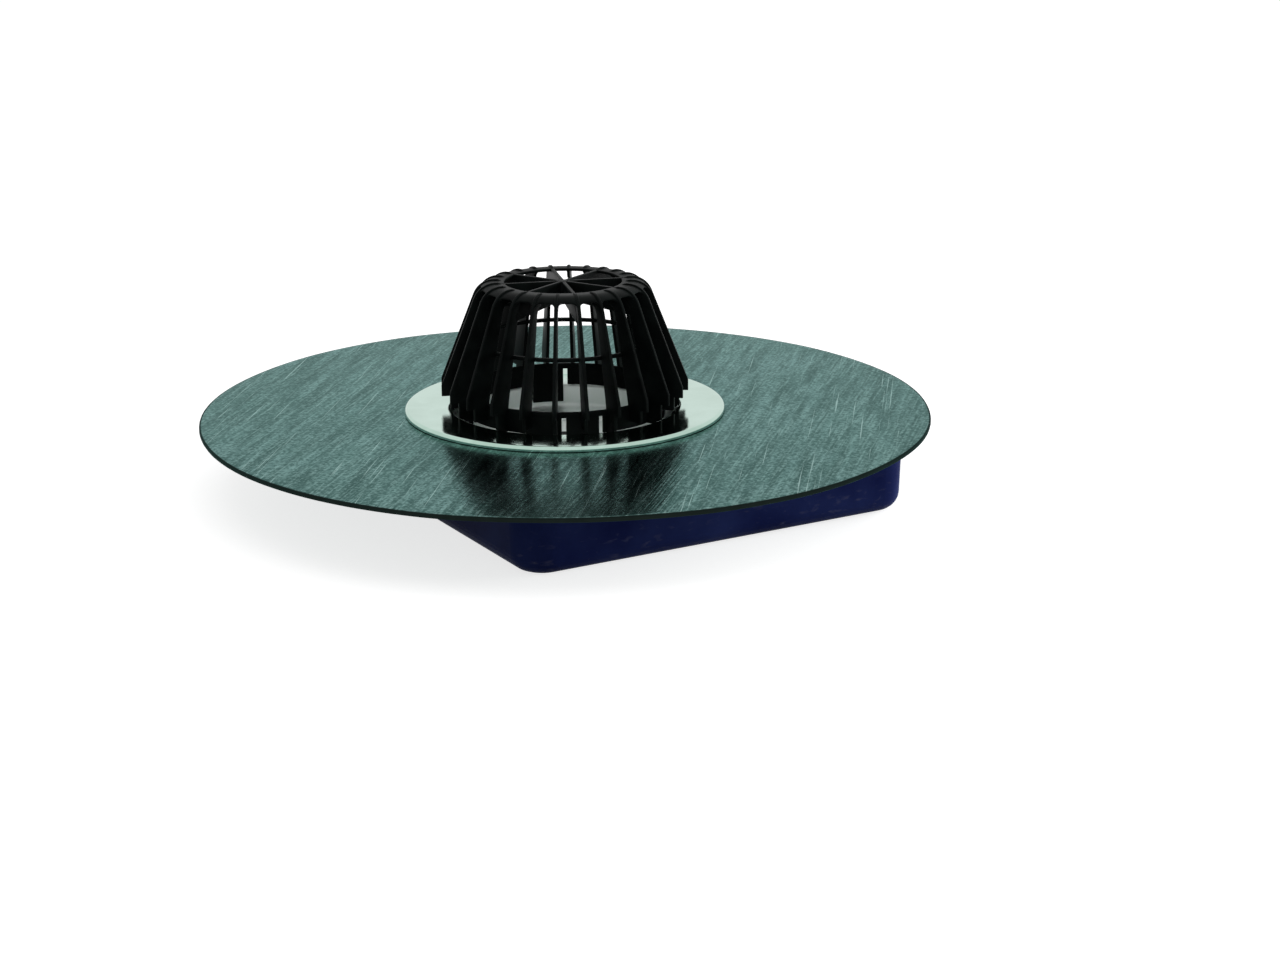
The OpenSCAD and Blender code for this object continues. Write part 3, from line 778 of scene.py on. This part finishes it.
def guard_material():
    """Black plastic, faintly clouded by the weather, with the fine grain of its mould."""
    dark_black = (0.0015, 0.002, 0.002)
    light_black = (0.005, 0.007, 0.0065)
    material, tree, shader = base_finish("guard_plastic", (0.004, 0.005, 0.005), 0.4, gloss=0.03)
    cloud = grain(tree, 70.0, detail=5.0)
    black = ramp(tree, cloud, (0.3, dark_black), (0.75, light_black))
    tree.links.new(black, shader.inputs["Base Color"])
    tree.links.new(spread(tree, cloud, 0.34, 0.48), shader.inputs["Roughness"])
    relief(tree, shader, grain(tree, 1500.0, detail=2.0), 0.03 * mm)
    return material


build_piece("finned_guard", guard_parts(), guard_material(), "leaf_guard")


# ---- Floor, light and camera ----
# A pale floor that stays white to the eye except in the drain's shadow, a soft lamp above
# it and one low at its side, and the camera a little above the collar.

def seen_directly(tree):
    """1 for a ray from the camera, off a gloss or through glass, and 0 for any other."""
    path = tree.nodes.new("ShaderNodeLightPath")
    seen = combine(tree, "MAXIMUM", path.outputs["Is Camera Ray"], path.outputs["Is Glossy Ray"])
    return combine(tree, "MAXIMUM", seen, path.outputs["Is Transmission Ray"])


def lit_white(tree, shaded, strength):
    """What the eye and the gloss see: the surface's own light plus a plain white glow."""
    glow = tree.nodes.new("ShaderNodeEmission")
    glow_strength = combine(tree, "MULTIPLY", seen_directly(tree), strength)
    both = tree.nodes.new("ShaderNodeAddShader")
    tree.links.new(glow_strength, glow.inputs["Strength"])
    tree.links.new(shaded, both.inputs[0])
    tree.links.new(glow.outputs["Emission"], both.inputs[1])
    return both.outputs["Shader"]


def floor():
    """A square far larger than the drain, just under the plane the tray stands on."""
    half = 30.0
    level = -0.2 * mm
    corners = [(x * half, y * half, level) for x, y in ((-1, -1), (1, -1), (1, 1), (-1, 1))]
    mesh = bpy.data.meshes.new("floor")
    mesh.from_pydata(corners, [], [(0, 1, 2, 3)])
    piece = bpy.data.objects.new("floor", mesh)
    bpy.context.scene.collection.objects.link(piece)
    material = bpy.data.materials.new("floor_white")
    material.use_nodes = True
    tree = material.node_tree
    tree.nodes.remove(tree.nodes["Principled BSDF"])
    matt = tree.nodes.new("ShaderNodeBsdfDiffuse")
    matt.inputs["Color"].default_value = (0.5, 0.5, 0.5, 1.0)
    output = tree.nodes["Material Output"]
    tree.links.new(lit_white(tree, matt.outputs["BSDF"], 0.74), output.inputs["Surface"])
    mesh.materials.append(material)


def world_light():
    """An even soft light, white where the eye or the gloss meets it."""
    world = bpy.data.worlds.new("studio")
    bpy.context.scene.world = world
    world.use_nodes = True
    tree = world.node_tree
    background = tree.nodes["Background"]
    background.inputs["Color"].default_value = (1.0, 1.0, 1.0, 1.0)
    tree.links.new(spread(tree, seen_directly(tree), 0.55, 1.0), background.inputs["Strength"])


def lamp(name, place, width, height, power):
    """A wide soft lamp that looks at the drain. The gloss doesn't see it, only the white
    surroundings, so no lamp shows as a spot on the metal."""
    light = bpy.data.lights.new(name, "AREA")
    light.shape = "RECTANGLE"
    light.size = width
    light.size_y = height
    light.energy = power
    piece = bpy.data.objects.new(name, light)
    piece.location = place
    aim = Vector((0, 0, collar_top)) - Vector(place)
    piece.rotation_euler = aim.to_track_quat("-Z", "Y").to_euler()
    piece.visible_glossy = False
    bpy.context.scene.collection.objects.link(piece)


def camera():
    """The camera stands off the middle of the collar's top face, and looks down at it."""
    azimuth = -28.4
    elevation = 15.15
    roll = -0.78
    distance = 1.7
    view = Matrix.Rotation(math.radians(azimuth), 4, "Z")
    view @= Matrix.Rotation(math.radians(90 - elevation), 4, "X")
    view @= Matrix.Rotation(math.radians(roll), 4, "Z")
    eye = view @ Vector((0, 0, distance))
    data = bpy.data.cameras.new("camera")
    data.sensor_width = 36.0
    data.lens = 69.4
    data.shift_x = 0.0588
    data.shift_y = -0.0544
    data.clip_start = 0.01
    data.clip_end = 100.0
    piece = bpy.data.objects.new("camera", data)
    piece.matrix_world = Matrix.Translation(eye + Vector((0, 0, collar_top))) @ view
    bpy.context.scene.collection.objects.link(piece)
    bpy.context.scene.camera = piece


floor()
world_light()
lamp("key", place=(-0.6, -1.0, 2.6), width=2.4, height=1.6, power=22.0)
lamp("side", place=(2.3, -0.4, 0.5), width=2.6, height=0.9, power=100.0)
camera()
bpy.context.scene.view_settings.view_transform = "Standard"
